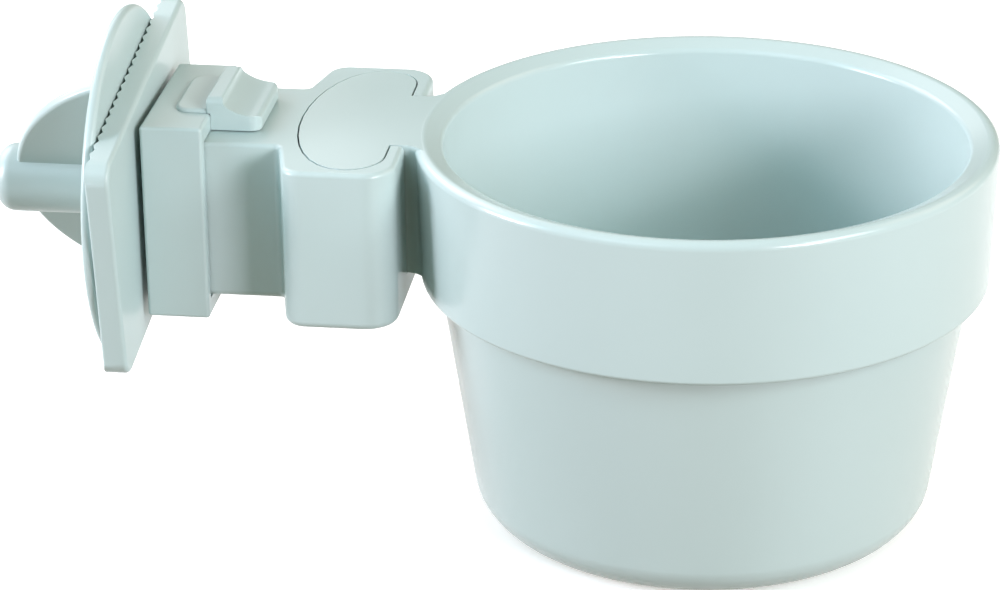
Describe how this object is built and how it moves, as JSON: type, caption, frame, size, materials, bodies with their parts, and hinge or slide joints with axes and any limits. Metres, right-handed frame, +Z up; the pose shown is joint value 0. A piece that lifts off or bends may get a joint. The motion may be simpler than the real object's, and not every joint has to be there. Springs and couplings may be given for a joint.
{
  "type": "clamp-on cage food bowl",
  "caption": "Flower-pot shaped food bowl with a thick collar, on a plug-in arm with a thumb latch and a screw clamp whose ridged jaw grips the wires of a small animal's cage.",
  "frame": {"origin": "on the bowl's axis, at the middle of the flat base that it stands on", "axes": "+Z up along the bowl's axis, +X from the clamp towards the bowl, so the arm and clamp lie towards -X"},
  "size_m": [0.1919, 0.11, 0.0961],
  "materials": {
    "bowl_plastic": "glossy pale mint moulded plastic",
    "arm_plastic": "satin pale mint moulded plastic",
    "sleeve_plastic": "satin pale mint moulded plastic",
    "latch_plastic": "satin pale mint moulded plastic",
    "bolt_plastic": "satin pale mint moulded plastic",
    "plate_plastic": "satin pale mint moulded plastic",
    "disc_plastic": "satin pale mint moulded plastic",
    "knob_plastic": "satin pale mint moulded plastic"
  },
  "bodies": {
    "bowl_and_arm": {"bowl": "bowl_plastic", "socket_arm": "arm_plastic"},
    "sleeve": {"receiver_sleeve": "sleeve_plastic", "clamp_bolt": "bolt_plastic"},
    "latch": {"latch_lever": "latch_plastic"},
    "jaw": {"clamp_plate": "plate_plastic"},
    "disc": {"pressure_disc": "disc_plastic"},
    "knob": {"wing_knob": "knob_plastic"}
  },
  "joints": [
    {"name": "sleeve_slide", "type": "slide", "parent": "bowl_and_arm", "child": "sleeve", "axis": [-1, 0, 0], "range_m": [0, 0.02]},
    {"name": "latch_lift", "type": "hinge", "parent": "sleeve", "child": "latch", "pos_m": [-0.0997, 0, 0.07985], "axis": [0, -1, 0], "range_deg": [0, 10], "stiffness_Nm_per_rad": 0.1},
    {"name": "jaw_swivel", "type": "hinge", "parent": "sleeve", "child": "jaw", "pos_m": [-0.1078, 0, 0.062], "axis": [-1, 0, 0], "continuous": true},
    {"name": "disc_travel", "type": "slide", "parent": "sleeve", "child": "disc", "axis": [-1, 0, 0], "range_m": [0, 0.01]},
    {"name": "knob_turn", "type": "hinge", "parent": "disc", "child": "knob", "pos_m": [-0.1129, 0, 0.062], "axis": [-1, 0, 0], "range_deg": [0, 1440]}
  ],
  "couplings": [
    {"joint": "latch_lift", "follows": "sleeve_slide", "rad_per_m": 8.726},
    {"joint": "knob_turn", "follows": "disc_travel", "rad_per_m": 2513}
  ]
}
